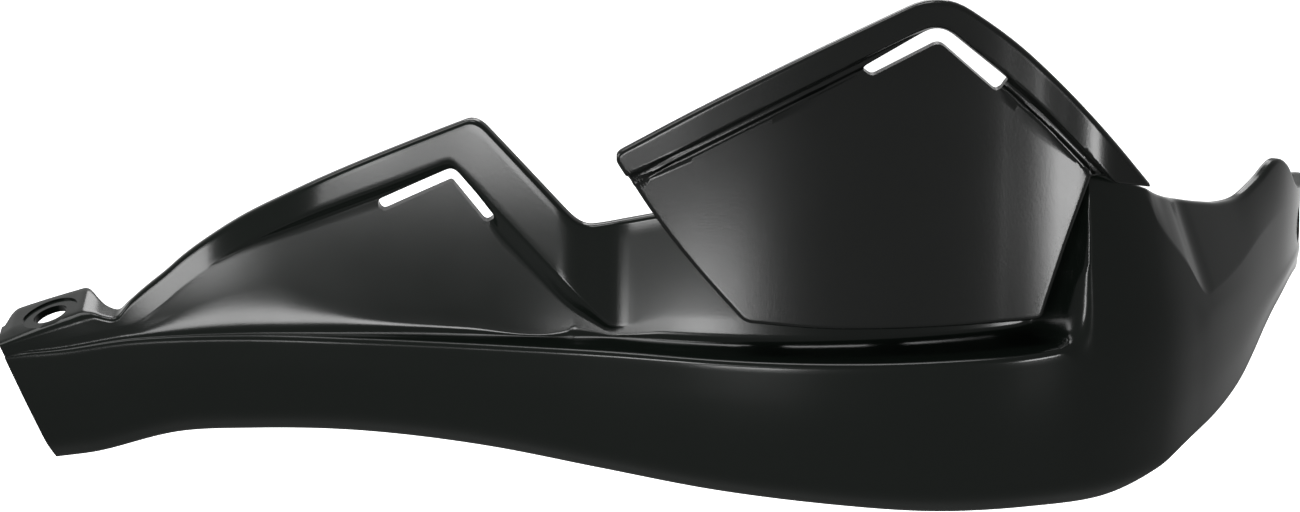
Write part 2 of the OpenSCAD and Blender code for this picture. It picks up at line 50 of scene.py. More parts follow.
# The tables below run over stations, which are steps along the bar from PLAN_START. PLAN gives the
# wall's place seen from above, and the others give heights, depths, slopes or radii.
PLAN_START, STATION_STEP = -12, 4.2
PLAN = [[0, -14, -9.5], [8, 21.6, -9], [15, 51, -10], [22, 80.4, -12.5], [29, 109.8, -17],
        [36, 139.2, -22.5], [43, 168.6, -28], [50, 198, -32.3], [57, 227.4, -34.5],
        [62, 248.4, -33.7], [66.5, 266.5, -29], [71, 282.7, -19.4], [75, 294, -6.2],
        [80, 305.5, 11.5], [85, 315.5, 30.5], [90, 324, 50], [95, 330, 70.5], [100, 333, 92]]
LOWER_EDGE = [[0, -37], [3.5, -35.4], [9.5, -30.2], [15, -28.8], [20, -28.4], [25, -29.2],
              [30, -31], [36, -34.4], [43, -38.2], [50, -40.4], [56, -41.4], [62, -40.4],
              [67, -39.3], [71, -34.6], [73, -31.6], [75, -29.8], [77, -28.4], [79, -26.6],
              [81, -24], [83, -20], [85, -15.8], [87, -12.9], [90, -10.8], [92, -10.8],
              [95, -12.8], [100, -12.8]]
CREASE = [[0, -8], [3.5, -6.8], [8, -4], [15, -2.4], [22, -2.2], [30, -1.8], [37, -1.4],
          [45, -1.6], [52, -0.8], [58, 0.8], [63, 2.6], [66, 5], [70, 6], [100, 0]]
POCKET = [[0, 0.6], [5, 1], [10, 1.6], [17, 3], [24, 4.5], [31, 6], [38, 8], [46, 9.6],
          [53, 11.2], [60, 12.3], [63, 12.5], [100, 12.5]]
LEAN = [[0, 0.13], [5, 0.19], [12, 0.19], [19, 0.13], [24, 0.12], [50, 0.12], [62, 0.18],
        [66, 0.2], [80, 0.2], [86, 0.14], [92, 0.04], [100, 0]]
HOLLOW = [[0, 10], [13, 16], [17, 11], [22, 4], [28, 2], [34, 2], [36.6, 15], [43, 15], [50, 8],
          [57, 9], [61, 15], [65, 14], [70, 8], [100, 8]]
RISE = [[0, -6.4], [4, -1.5], [6.2, 0.8], [7, 1.8], [7.6, 4.4], [8.7, 8.6], [10, 13], [11.1, 17],
        [12.4, 21], [14.8, 27.6], [17.2, 33.2], [19.6, 38.4], [24.2, 47.2], [28.6, 55.2],
        [34, 64], [100, 150]]
UPPER_EDGE = [[0, -100], [26, 12], [31, 26.6], [36, 28.7], [40, 32.2], [50, 38], [60, 44],
              [66, 45.5], [68.3, 42.4], [71, 38.2], [73, 34.6], [75, 31.2], [77, 28.4],
              [79, 25.8], [81, 23.5], [83.4, 22.2], [86, 23.8], [88.6, 26.4], [90.2, 23],
              [91.8, 16.4], [93.4, 12.2], [95, 11.5], [100, 11.5]]
VALLEY = [[37, 5], [60, 8], [64, 12], [66, 22], [68, 34], [70.4, 37], [71.6, 29], [74, 17],
          [75.6, 7], [77, 6.5], [80.5, 8], [85, 11.5], [90, 12.5], [100, 6]]

# The peak's falling edge: its height at a station, its fall a station, and its rim's upright width
# over RIM_WIDTH
FALL_HEIGHT, FALL_STATION, FALL_SLOPE, FALL_RIM = 53.9, 28.9, 4.36, 2.55
# The bulge's flank, which closes the pocket: where it starts, how that shifts with height, its end
FLANK_START, FLANK_SLANT, FLANK_END = 61.6, 0.076, 65.9
# Where a feature comes or goes: the first station and the length of the change
PANEL_IN, PANEL_OUT, PEAK_OUT = (12.5, 7), (33.4, 4.2), (37, 3)
RIM_WIDENS, STEP_WIDENS = (15, 10), (28.6, 1.5)
ROLL_OUT, CREASE_OUT = (64, 9), (63.5, 3)
FACET, FACET_IN, FACET_OUT = 0.22, (69, 4), (82, 8)
# The step between rim and panel: how far its slope reaches, and how much more on the falling side
STEP_REACH, STEP_MORE = 2.4, 1.4

# The flange over the distance along the bar: its top at the bolt's line, and how far back it goes
FLANGE_TOP = [[-14, -4.13], [-7, -1.85], [0, 0.42], [6, 2.37], [9, 3.3], [12, 3.1], [14.5, 2.1],
              [17, 1.6], [19, 2], [21.5, 4], [24, 6]]
FLANGE_BACK = [[-13, 2], [-12.2, 4.5], [-11.6, 7], [-10.4, 9], [-8.4, 10], [7, 10], [9.2, 9],
               [10.8, 6.5], [12.4, 3.6], [14.5, 1.4], [17, 0], [20, -2], [23, -4.4], [26, -6]]
FLANGE_END, FLANGE_THICK, FLANGE_TILT = 26.0, 2.32, 0.0735
FLANGE_OUT, TOP_OUT, TILT_OUT, LIP_OUT, THICK_OUT = (20, 6), (15, 7), (9, 7), (6, 8), (9, 10)
EDGE_THICK, LIP_ROUND = 1.2, 2.9
# The inner end: its slant back below the flange, over this height and these stations, and the
# little that the flange itself goes back
END_SLANT, END_HEIGHT, END_STATIONS, END_BACK, FLANGE_HEIGHT = 14, 35, 14, 1.4, 12
# The bar-end pad's middle and radius
PAD_X, PAD_Y, PAD_Z, PAD_RADIUS = 331.12, 77.0, -0.5, 12


def through(table, at):
    """Smooth values through a table's rows."""
    rows = np.array(table, float)
    k = np.arange(len(rows))
    before, after = rows[np.maximum(k - 1, 0)], rows[np.minimum(k + 1, len(rows) - 1)]
    slopes = (after - before) / (after[:, :1] - before[:, :1])
    at = np.atleast_1d(np.asarray(at, float))
    i = np.clip(np.searchsorted(rows[:, 0], at) - 1, 0, len(rows) - 2)
    width = (rows[i + 1, 0] - rows[i, 0])[:, None]
    t = np.clip((at[:, None] - rows[i, :1]) / width, 0, 1)
    values = ((2 * t**3 - 3 * t**2 + 1) * rows[i] + (t**3 - 2 * t**2 + t) * width * slopes[i]
              + (3 * t**2 - 2 * t**3) * rows[i + 1] + (t**3 - t**2) * width * slopes[i + 1])[:, 1:]
    return values[:, 0] if values.shape[1] == 1 else values


def smooth(t):
    c = np.clip(t, 0, 1)
    return c * c * (3 - 2 * c)


def ramp(at, start, length):
    """Rises smoothly from 0 to 1 over a length from a start."""
    return smooth((at - start) / length)


def soft_min(a, b, r):
    return np.minimum(a, b) - np.maximum(r - abs(a - b), 0) ** 2 / (4 * r)


def soft_max(a, b, r):
    return np.maximum(a, b) + np.maximum(r - abs(a - b), 0) ** 2 / (4 * r)


def mix(a, b, t):
    return a + (b - a) * t


def bend(a, b, c, radius, steps):
    """The corner b of a path from a to c, rounded: points of shape (stations, steps + 1, 2)."""
    to_a, to_c = a - b, c - b
    long_a = np.linalg.norm(to_a, axis=-1, keepdims=True) + 1e-9
    long_c = np.linalg.norm(to_c, axis=-1, keepdims=True) + 1e-9
    p = b + to_a / long_a * np.minimum(radius, 0.45 * long_a)
    q = b + to_c / long_c * np.minimum(radius, 0.45 * long_c)
    t = np.linspace(0, 1, steps + 1)[None, :, None]
    return (1 - t) ** 2 * p[:, None] + 2 * t * (1 - t) * b[:, None] + t**2 * q[:, None]


def closed_section(corners):
    """A closed section from corners of (points, radius, steps in the bend, points on the straight
    after it, and a bowed surface that the straight follows, or None)."""
    bends = []
    for k, (at, radius, steps, _, _) in enumerate(corners):
        radius = np.broadcast_to(np.asarray(radius, float), (len(at),))[:, None]
        bends.append(bend(corners[k - 1][0], at, corners[(k + 1) % len(corners)][0], radius, steps))
    parts = []
    for k, (_, _, _, between, surface) in enumerate(corners):
        parts.append(bends[k])
        start, end = bends[k][:, -1], bends[(k + 1) % len(corners)][:, 0]
        for j in range(1, between + 1):
            t = j / (between + 1)
            at = mix(start, end, t)
            if surface:
                at[:, 0] += surface(at[:, 1]) - mix(surface(start[:, 1]), surface(end[:, 1]), t)
            parts.append(at[:, None])
    return np.concatenate(parts, axis=1)


def set_points(piece, points):
    """Moves a mesh's points to places in millimetres."""
    places = np.array(points, float) * 0.001
    piece.data.vertices.foreach_set("co", places.reshape(-1).astype(np.float32))


def lofted(name, rings):
    """A closed shell through rings of points: a grid with its long seam welded and its ends
    filled."""
    rings = np.concatenate([rings, rings[:, :1]], axis=1)
    count, points = rings.shape[:2]
    bpy.ops.object.select_all(action="DESELECT")
    bpy.ops.mesh.primitive_grid_add(x_subdivisions=points - 1, y_subdivisions=count - 1, size=1)
    piece = bpy.context.object
    piece.name = piece.data.name = name
    set_points(piece, rings)
    piece.data.update()
    bpy.ops.object.mode_set(mode="EDIT")
    bpy.ops.mesh.select_all(action="SELECT")
    bpy.ops.mesh.remove_doubles(threshold=1e-6)
    bpy.ops.mesh.select_all(action="DESELECT")
    bpy.ops.mesh.select_mode(type="EDGE")
    bpy.ops.mesh.select_non_manifold()
    bpy.ops.mesh.fill()
    bpy.ops.mesh.select_all(action="SELECT")
    bpy.ops.mesh.normals_make_consistent(inside=False)
    bpy.ops.object.mode_set(mode="OBJECT")
    return piece


def rod(radius, depth, at, turn=(0, 0, 0), bevel=0.0):
    """A solid round bar with bevelled ends, its middle at a point in millimetres."""
    bpy.ops.object.select_all(action="DESELECT")
    bpy.ops.mesh.primitive_cylinder_add(vertices=64, radius=radius * 0.001, depth=depth * 0.001,
                                        location=[c * 0.001 for c in at], rotation=turn)
    piece = bpy.context.object
    if bevel:
        piece.modifiers.new("edge", "BEVEL").width = bevel * 0.001
        piece.modifiers["edge"].segments = 3
        piece.modifiers["edge"].limit_method = "ANGLE"
        bpy.ops.object.modifier_apply(modifier="edge")
    bpy.ops.object.transform_apply(location=True, rotation=True, scale=True)
    return piece


def prism(outline, reach):
    """A solid from a flat closed outline in millimetres, extruded by a vector in metres."""
    bpy.ops.object.select_all(action="DESELECT")
    bpy.ops.mesh.primitive_circle_add(vertices=len(outline), radius=1, fill_type="NGON")
    piece = bpy.context.object
    set_points(piece, outline)
    bpy.ops.object.mode_set(mode="EDIT")
    bpy.ops.mesh.select_all(action="SELECT")
    bpy.ops.mesh.extrude_region_move(TRANSFORM_OT_translate={"value": reach})
    bpy.ops.mesh.select_all(action="SELECT")
    bpy.ops.mesh.normals_make_consistent(inside=False)
    bpy.ops.object.mode_set(mode="OBJECT")
    return piece


def combine(piece, others, operation):
    """Adds or cuts whole pieces, which are used up."""
    for other in others:
        bpy.ops.object.select_all(action="DESELECT")
        bpy.context.view_layer.objects.active = piece
        piece.select_set(True)
        step = piece.modifiers.new("cut", "BOOLEAN")
        step.operation = operation
        step.solver = "EXACT"
        step.object = other
        bpy.ops.object.modifier_apply(modifier="cut")
        bpy.data.objects.remove(other)


def rounded_outline(corners, steps):
    """A closed outline from corners of (along, up, corner radius)."""
    pts = np.array(corners, float)
    after = np.roll(pts, -1, 0)
    return np.concatenate([bend(pts[k - 1][None, :2], pts[k][None, :2], after[k][None, :2],
                                pts[k, 2], steps)[0] for k in range(len(pts))])


def slotted(piece, corners):
    """Cuts a slot through a piece, from well ahead of it to well behind."""
    outline = rounded_outline(corners, 6)
    ahead = np.full(len(outline), -90.0)
    cutter = prism(np.stack([outline[:, 0], ahead, outline[:, 1]], 1), (0, 0.15, 0))
    combine(piece, [cutter], "DIFFERENCE")


def spaced(*stretches):
    """Positions from stretches of (start, end, spacing)."""
    return np.concatenate([np.arange(a, b, d) for a, b, d in stretches])


def station_of(x):
    return (x - PLAN_START) / STATION_STEP


def plan_at(s):
    return through(PLAN, s)


def outward(s):
    d = plan_at(s + 0.1) - plan_at(s - 0.1)
    return np.stack([d[:, 1], -d[:, 0]], 1) / np.linalg.norm(d, axis=1)[:, None]


def shape_at(s):
    """Heights and depths of the section at stations."""
    rise, fall = through(RISE, s), FALL_HEIGHT - FALL_SLOPE * (s - FALL_STATION)
    top = soft_max(soft_min(rise, fall, PEAK_ROUND), through(UPPER_EDGE, s), PEAK_FOOT_ROUND)
    crease = through(CREASE, s)
    peak = soft_min(rise - RIM_WIDTH - RIM_WIDER * ramp(s, *RIM_WIDENS),
                    fall - RIM_WIDTH * FALL_RIM, RIM_ROUND)
    foot = np.minimum(4, (top - crease) * 0.6)
    rim = np.minimum(soft_max(peak, crease + foot, RIM_ROUND), top - 1)
    here = ramp(s, *PANEL_IN) * (1 - ramp(s, *PANEL_OUT))
    past = ramp(s, *PEAK_OUT)
    valley = through(VALLEY, s)
    step_reach = STEP_REACH * here * (1 + STEP_MORE * ramp(s, *STEP_WIDENS))
    return dict(low=through(LOWER_EDGE, s), crease=crease, valley=valley, top=top,
                panel=mix(rim - 0.4 - step_reach, valley, past), rim=mix(rim, valley + 2, past),
                step=RIM_STEP * here, pocket=through(POCKET, s), lean=through(LEAN, s),
                hollow=through(HOLLOW, s), turn=1 - ramp(s, *ROLL_OUT), fade=ramp(s, *CREASE_OUT),
                facet=FACET * ramp(s, *FACET_IN) * (1 - ramp(s, *FACET_OUT)))


def flank(s, z):
    """How much of the pocket's depth is left across the bulge's flank."""
    start = FLANK_START + FLANK_SLANT * np.maximum(z, 0)
    return 1 - ramp(s, start, FLANK_END - start)


def body_rings(s):
    """The wall's section at each station, in space. A section's points are (out, up)."""
    v = shape_at(s)
    p, n = plan_at(s), outward(s)
    along = p[:, 0]

    def back(z):
        above = (z + np.sqrt(z * z + 9)) / 2
        bowed = -v["pocket"] * flank(s, z) - v["lean"] * above
        return bowed - v["facet"] * np.maximum(z - v["valley"], 0)

    def behind(z):
        left = flank(s, z)
        return back(z) - WALL * (1 + 2.4 * left * (1 - left))

    def at(h, z):
        return np.stack(np.broadcast_arrays(h + 0 * s, z + 0 * s), -1)

    # the flange, which is the wall's own top where there is none
    there = along < FLANGE_END
    flange = 1 - ramp(along, *FLANGE_OUT)
    flange_top = mix(v["top"], through(FLANGE_TOP, along), 1 - ramp(along, *TOP_OUT))
    top = np.where(there, flange_top, v["top"])
    tilt = np.where(there, FLANGE_TILT * (1 - ramp(along, *TILT_OUT)), 0)
    top_h = back(top) + v["step"]
    front_z = top + tilt * (p[:, 1] - top_h)
    lip = mix(EDGE_THICK, LIP_ROUND, 1 - ramp(along, *LIP_OUT))
    reach = p[:, 1] - through(FLANGE_BACK, along)
    rear_h = behind(top) + v["step"]
    back_h = np.where(there, np.minimum(mix(rear_h, reach, flange), rear_h), rear_h)
    back_z = top + tilt * (p[:, 1] - back_h)
    thick = mix(EDGE_THICK, FLANGE_THICK, 1 - ramp(along, *THICK_OUT))
    under = front_z - thick
    under_h = behind(under) + v["step"] - 0.3 * there

    # the heights of the front's corners, and of those behind, each below the one above it
    roll = v["low"] + ROLL_HEIGHT * (0.4 + 0.6 * v["turn"])
    crease = v["crease"] - 5 * v["fade"]
    shelf = np.minimum(v["crease"] + 0.6 + 9 * v["fade"], v["panel"] - 0.8)
    band_middle = mix(at(0, roll), at(0, crease), 0.5) + [0.5, 0]
    drop = WALL * np.minimum(-back(shelf) / 4, 1)
    rim_z = np.minimum(v["rim"], front_z - 1)
    panel_z = np.minimum(v["panel"], rim_z - 0.4)
    inner_rim = np.minimum(rim_z, under - 0.8)
    inner_panel = np.minimum(panel_z, inner_rim - 0.4)
    inner_shelf = np.minimum(shelf - drop, inner_panel - 0.4)
    inner_crease = np.minimum(crease - drop, inner_shelf - 0.4)
    front_corners = [
        (at(-ROLL_IN * v["turn"], v["low"]), 0.9, 4, 3, None),
        (at(0, roll), 2.5, 6, 5, None),
        (band_middle, 12, 8, 5, None),
        (at(0, crease), mix(1.6, 9, v["fade"]), 7, 3, None),
        (at(back(shelf), shelf), v["hollow"], 9, 12, back),
        (at(back(panel_z), panel_z), 0.9, 4, 2, None),
        (at(back(rim_z) + v["step"], rim_z), 0.9, 5, 6, None),
    ]
    top_corners = [
        (at(top_h, front_z), lip, 7, 6, None),
        (at(back_h, back_z), 0.9, 4, 1, None),
        (at(back_h, back_z - thick), 0.7, 4, 5, None),
        (at(under_h, under), 3, 4, 4, None),
    ]
    rear_corners = [
        (at(behind(inner_rim) + v["step"], inner_rim), 1.5, 3, 1, None),
        (at(behind(inner_panel), inner_panel), 1.5, 3, 8, behind),
        (at(behind(inner_shelf), inner_shelf), v["hollow"], 6, 3, None),
        (at(-WALL, inner_crease), 1.6, 5, 8, None),
        (at(-WALL, roll), 2, 4, 2, None),
        (at(-ROLL_IN * v["turn"] - WALL * 0.9, v["low"]), 0.9, 4, 1, None),
    ]
    section = closed_section(front_corners + top_corners + rear_corners)

    # the bar-end pad's rounded end
    beyond = np.hypot(along - PAD_X, p[:, 1] - PAD_Y) * np.sign(p[:, 1] - PAD_Y)
    half = np.sqrt(np.maximum(PAD_RADIUS**2 - np.maximum(beyond, 0)**2, 0.01))
    z = section[..., 1]
    squeezed = PAD_Z + (z - PAD_Z) * (half / PAD_RADIUS)[:, None]
    section[..., 1] = np.where((p[:, 1] > PAD_Y)[:, None], squeezed, z)

    # the inner end, slanted
    below = END_SLANT * np.maximum(-section[..., 1], 0) / END_HEIGHT
    slant = below * np.maximum(1 - s / END_STATIONS, 0)[:, None]
    in_flange = (smooth((-section[..., 0] - WALL) / WALL)
                 * smooth((section[..., 1] - v["low"][:, None]) / FLANGE_HEIGHT - 1))
    end_back = END_BACK * np.maximum(1 - s, 0)[:, None]
    x = p[:, :1] + n[:, :1] * section[..., 0] + mix(slant, end_back, in_flange)
    y = p[:, 1:] + n[:, 1:] * section[..., 0]
    return np.stack([x, y, section[..., 1]], -1)


body_stations = spaced((0, 9.8, 0.12), (9.8, 12, 0.2), (12, 27, 0.3), (27, 37, 0.16),
                       (37, 61, 0.35), (61, 67, 0.12), (67, 78, 0.22), (78, 96.5, 0.35),
                       (96.5, 99.6, 0.1))
body = lofted("guard_moulding", body_rings(body_stations))

# The slot through the peak's panel
PEAK_SLOT = [(84.4, 32.4, 1.5), (104.3, 42, 2.2), (114.6, 29.6, 1.5), (112.1, 27.5, 1.5),
             (103.5, 37.9, 0.8), (85.8, 29.4, 1.5)]
slotted(body, PEAK_SLOT)

# Two gussets that stiffen the flange from below, rooted in the middle of the wall
GUSSET_THICK, GUSSET_HEIGHT, GUSSET_REACH, GUSSET_FOOT, GUSSET_TIP = 1.8, 7, 8, 0.8, 0.6
for gusset_x in (-9, 10.4):
    gusset_s = np.array([station_of(gusset_x)])
    root = float(plan_at(gusset_s)[0, 1] + through(POCKET, gusset_s)[0] + WALL / 2)
    flange_z = float(through(FLANGE_TOP, gusset_x)[0]) + FLANGE_TILT * root - FLANGE_THICK / 2
    side = [(root, flange_z), (root, flange_z - GUSSET_HEIGHT),
            (root + WALL / 2 + GUSSET_FOOT, flange_z - GUSSET_HEIGHT),
            (root + GUSSET_REACH, flange_z - FLANGE_THICK / 2 - GUSSET_TIP),
            (root + GUSSET_REACH, flange_z)]
    gusset = prism([(gusset_x - GUSSET_THICK / 2, a, b) for a, b in side],
                   (GUSSET_THICK * 0.001, 0, 0))
    combine(body, [gusset], "UNION")

# Flat pads for the deflector's screws, and the pad at the bar's end
SCREW_AT = [(181, 15), (243, 15), (211, 28)]
SCREW_PAD_RADIUS, SCREW_PAD_DEPTH, SCREW_PAD_FRONT = 6.75, 4.5, 0.8
SCREW_HOLE, WASHER_ROOM = 2.75, 7.5
END_PAD_DEPTH, END_PAD_MIDDLE = 5.04, 4.48
ALONG_X, ALONG_Y = (0, math.pi / 2, 0), (math.pi / 2, 0, 0)


def seat_y(x, z):
    """Where the front of a screw's pad lies."""
    s = np.array([station_of(x)])
    v = shape_at(s)
    wall = plan_at(s)[0, 1] + v["pocket"][0] * flank(s, z)[0] + v["lean"][0] * z
    return float(wall - SCREW_PAD_FRONT)


def at_screws(radius, depth, middle, bevel=0.0):
    """A round bar at each screw, its middle so far behind the front of the screw's pad."""
    return [rod(radius, depth, (x, seat_y(x, z) + middle, z), ALONG_Y, bevel) for x, z in SCREW_AT]


combine(body, at_screws(SCREW_PAD_RADIUS, SCREW_PAD_DEPTH, SCREW_PAD_DEPTH / 2, 0.4), "UNION")
end_pad = rod(PAD_RADIUS, END_PAD_DEPTH, (PAD_X - END_PAD_MIDDLE, PAD_Y, PAD_Z), ALONG_X, 0.5)
combine(body, [end_pad], "UNION")

# The room for the washers, the screws' holes, the inner bolt's seat and hole, and the bar-end
# bolt's recess and hole. The cutters' lengths only have to pass through.
BOLT_TURN = (math.radians(4), math.radians(-18), 0)
ALONG_BOLT = (-0.308264, -0.069756, 0.948740)
BOLT_SEAT, BOLT_HOLE = 7.5, 4.5
END_RECESS, END_HOLE, RECESS_MIDDLE = 9, 4.25, 3
cuts = at_screws(WASHER_ROOM, 5, SCREW_PAD_DEPTH + 2.48)
cuts += at_screws(SCREW_HOLE, 20, 0)
cuts += [rod(BOLT_SEAT, 20, [10 * c for c in ALONG_BOLT], BOLT_TURN),
         rod(BOLT_HOLE, 30, (0, 0, 0), BOLT_TURN)]
cuts += [rod(END_RECESS, 10, (PAD_X + RECESS_MIDDLE, PAD_Y, PAD_Z), ALONG_X),
         rod(END_HOLE, 40, (PAD_X, PAD_Y, PAD_Z), ALONG_X)]
combine(body, cuts, "DIFFERENCE")


def finished(piece):
    """Smooth shading with sharp edges kept, and a ride on the guard's one body."""
    bpy.ops.object.select_all(action="DESELECT")
    bpy.context.view_layer.objects.active = piece
    piece.select_set(True)
    bpy.ops.object.shade_smooth_by_angle(angle=math.radians(35))
    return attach(piece, "root")


def new_material(name):
    """A new material, its node tree and its Principled shader."""
    material = bpy.data.materials.new(name)
    material.use_nodes = True
    tree = material.node_tree
    return material, tree, tree.nodes["Principled BSDF"]


def feed(tree, socket, value):
    """Links another node's output to an input, or sets the input to a value."""
    if isinstance(value, bpy.types.NodeSocket):
        tree.links.new(value, socket)
    else:
        socket.default_value = value


def set_inputs(tree, node, **values):
    """Feeds a node's inputs by their names, with underscores for spaces."""
    for name, value in values.items():
        feed(tree, node.inputs[name.replace("_", " ")], value)


def new_node(tree, kind, **values):
    node = tree.nodes.new(kind)
    set_inputs(tree, node, **values)
    return node


def calculated(tree, operation, *values):
    """The output of a Math node on numbers or other nodes' outputs."""
    node = tree.nodes.new("ShaderNodeMath")
    node.operation = operation
    for socket, value in zip(node.inputs, values):
        feed(tree, socket, value)
    return node.outputs[0]


# Moulded plastic: a fine grain from the mould's surface, and a slow unevenness of the gloss
moulded = bpy.data.node_groups.new("moulded grain", "ShaderNodeTree")
for socket, value in (("Grain Size", 0.0005), ("Gloss", 0.2), ("Gloss Spread", 0.05),
                      ("Grain Depth", 0.3)):
    moulded.interface.new_socket(socket, in_out="INPUT",
                                 socket_type="NodeSocketFloat").default_value = value
for socket in ("Roughness", "Height"):
    moulded.interface.new_socket(socket, in_out="OUTPUT", socket_type="NodeSocketFloat")
given = moulded.nodes.new("NodeGroupInput").outputs
place = moulded.nodes.new("ShaderNodeTexCoord").outputs["Object"]
fine = new_node(moulded, "ShaderNodeTexNoise", Vector=place, Detail=3,
                Scale=calculated(moulded, "DIVIDE", 1, given["Grain Size"]))
slow = new_node(moulded, "ShaderNodeTexNoise", Vector=place, Detail=4, Scale=45)
unevenness = calculated(moulded, "SUBTRACT", slow.outputs["Fac"], 0.5)
new_node(moulded, "NodeGroupOutput",
         Roughness=calculated(moulded, "MULTIPLY_ADD", unevenness, given["Gloss Spread"],
                              given["Gloss"]),
         Height=calculated(moulded, "MULTIPLY", fine.outputs["Fac"], given["Grain Depth"]))


def plastic(name, colour, shine, **grain):
    """A moulded plastic, with values for the grain's inputs."""
    material, tree, shader = new_material(name)
    group = tree.nodes.new("ShaderNodeGroup")
    group.node_tree = moulded
    set_inputs(tree, group, **grain)
    bump = new_node(tree, "ShaderNodeBump", Distance=0.0001, Strength=1,
                    Height=group.outputs["Height"])
    set_inputs(tree, shader, Base_Color=(*colour, 1), Specular_IOR_Level=shine,
               Normal=bump.outputs["Normal"], Roughness=group.outputs["Roughness"])
    return material


gloss_black = plastic("gloss black plastic", (0.0016, 0.0022, 0.0018), 0.085, Grain_Size=0.0008,
                      Gloss=0.16, Gloss_Spread=0.05, Grain_Depth=0.05)
body.data.materials.append(gloss_black)
finished(body)
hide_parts("guard_body")


# ---- Deflector ----
# A separate satin black moulding that stands in the guard's pocket, with a thick rim, a groove and
# a fine bead along its two upper edges, a wing over the guard's bulge, an angled slot, and three
# screw bosses behind.
DEFLECTOR_WALL, STANDOFF = 2.5, 7.0
RIM_OUT, RIM_ACROSS, WING_FLARE, BEAD = 3.0, 6.5, 1.5, 0.6
DEFLECTOR_CORNERS = [(143.8, 50, 3), (165, 62.6, 12), (190, 76.2, 12), (223.6, 93, 9),
                     (241, 81.4, 12), (254, 69.2, 12), (265, 57.4, 12), (276.8, 42.4, 1.2),
                     (261.8, 45.8, 1), (256.4, 30, 12), (250.2, 9.4, 1.5), (220, 7.2, 12),
                     (198, 6.4, 12), (176.6, 7.6, 2), (164, 21.4, 12), (154, 34, 12)]
DEFLECTOR_SLOT = [(204.6, 73.2, 1.4), (223.4, 84.6, 4), (240.6, 70.8, 1.3), (237.6, 67.4, 1.3),
                  (223.4, 79.8, 2), (207, 71, 1.4)]
# How far the face comes forward along the bar
SWEEP = [[120, 0], [200, 0.2], [240, 0.8], [254, 1.8], [262, 2.6], [270, 3], [280, 4]]
# The rounding of the front's and the back's edges
FRONT_ROUND, BACK_ROUND = 1.1, 0.8
BOSS_RADIUS, BOSS_HOLE, BOSS_ROOT, BOSS_GAP = 4.5, 2.6, 1.2, 0.2
BOSS_HOLE_MIDDLE = 5.2


def crest_edge(x):
    """The height of the two upper edges' curves, rounded where they meet."""
    left = 49 + (x - 143.8) * 0.575 - (x - 143.8) ** 2 * 0.0004
    right = 93 - (x - 223.6) * 0.7 - (x - 223.6) ** 2 * 0.0053
    return soft_min(left, right, 5)


def edge_stretch(x):
    """The upright distance over the distance square to the upper edges."""
    return mix(1.14, 1.42, ramp(x, 216, 16))


def relief(x, d):
    """How far rim and bead stand out at a distance from the upper edges."""
    foot = 1 - smooth((d - RIM_ACROSS + 1.4) / 2)
    bead = smooth((d - RIM_ACROSS - 1.4) / 0.7) * (1 - smooth((d - RIM_ACROSS - 2.4) / 0.7))
    return foot * (RIM_OUT + WING_FLARE * ramp(x, 248, 20)) + BEAD * bead


def deflector_face(x, z):
    """How far back the deflector's face lies."""
    s = station_of(x)
    d = (crest_edge(x) - z) / edge_stretch(x)
    return (plan_at(s)[:, 1] + through(POCKET, s) - STANDOFF - through(SWEEP, x) + 0.08 * (z - 5)
            - relief(x, d))


def edge_distance(points, outline):
    """Distance from points to a closed outline."""
    best = np.full(len(points), 1e9)
    for start, line in zip(outline, np.roll(outline, -1, 0) - outline):
        square = line @ line
        if square < 1e-12:
            continue
        t = np.clip((points - start) @ line / square, 0, 1)
        best = np.minimum(best, np.linalg.norm(points - start - t[:, None] * line, axis=1))
    return best


deflector_outline = rounded_outline(DEFLECTOR_CORNERS, 8)
left_end, right_end = deflector_outline[:, 0].argmin(), deflector_outline[:, 0].argmax()
chain = np.roll(deflector_outline, -left_end, 0)
tip = (right_end - left_end) % len(chain)
upper, lower = chain[:tip + 1], np.concatenate([chain[tip:], chain[:1]])[::-1]
columns = spaced((143.9, 146, 0.15), (146, 176, 0.6), (176, 178, 0.3), (178, 216, 0.8),
                 (216, 232, 0.4), (232, 249, 0.6), (249, 263, 0.25), (263, 274, 0.5),
                 (274, 276.2, 0.12))
columns = columns[(columns > upper[0, 0] + 0.02) & (columns < upper[-1, 0] - 0.02)]
round_rows = [0, 0.12, 0.3, 0.55, 0.85, 1.2]
rim_rows = np.concatenate([round_rows, np.arange(1.6, 11.2, 0.3)])
foot_rows = np.array(round_rows + [1.7])


def deflector_rings(x):
    """The section at each place along the bar, up its face and down its back."""
    high = np.interp(x, *upper.T)
    low = np.interp(x, *lower.T)
    stretch_low = np.sqrt(1 + np.minimum(np.abs(np.gradient(low, x)), 4) ** 2)
    down = rim_rows[None] * edge_stretch(x)[:, None]
    up = foot_rows[None] * stretch_low[:, None]
    # where the piece is too low for all its rows, they share what there is
    need = down[:, -1] + up[:, -1] + 3
    squeeze = np.minimum((high - low) / need, 1)[:, None]
    z_down = high[:, None] - down * squeeze
    z_up = low[:, None] + up * squeeze
    z_mid = mix(z_up[:, -1:], z_down[:, -1:], np.linspace(0, 1, 26)[None, 1:-1])
    z = np.concatenate([z_up, z_mid, z_down[:, ::-1]], 1)
    xs = np.broadcast_to(x[:, None], z.shape)
    flat = np.stack([xs.ravel(), z.ravel()], 1)
    away = edge_distance(flat, deflector_outline).reshape(z.shape)
    away = np.where(z > high[:, None] - 0.001, 0, away)
    face = deflector_face(flat[:, 0], flat[:, 1]).reshape(z.shape)
    round_front, round_back = (r - np.sqrt(r * r - np.maximum(r - away, 0) ** 2)
                               for r in (FRONT_ROUND, BACK_ROUND))
    front = np.stack([xs, face + round_front, z], -1)
    rear = np.stack([xs, face + DEFLECTOR_WALL - round_back, z], -1)[:, ::-1]
    return np.concatenate([front, rear], 1)


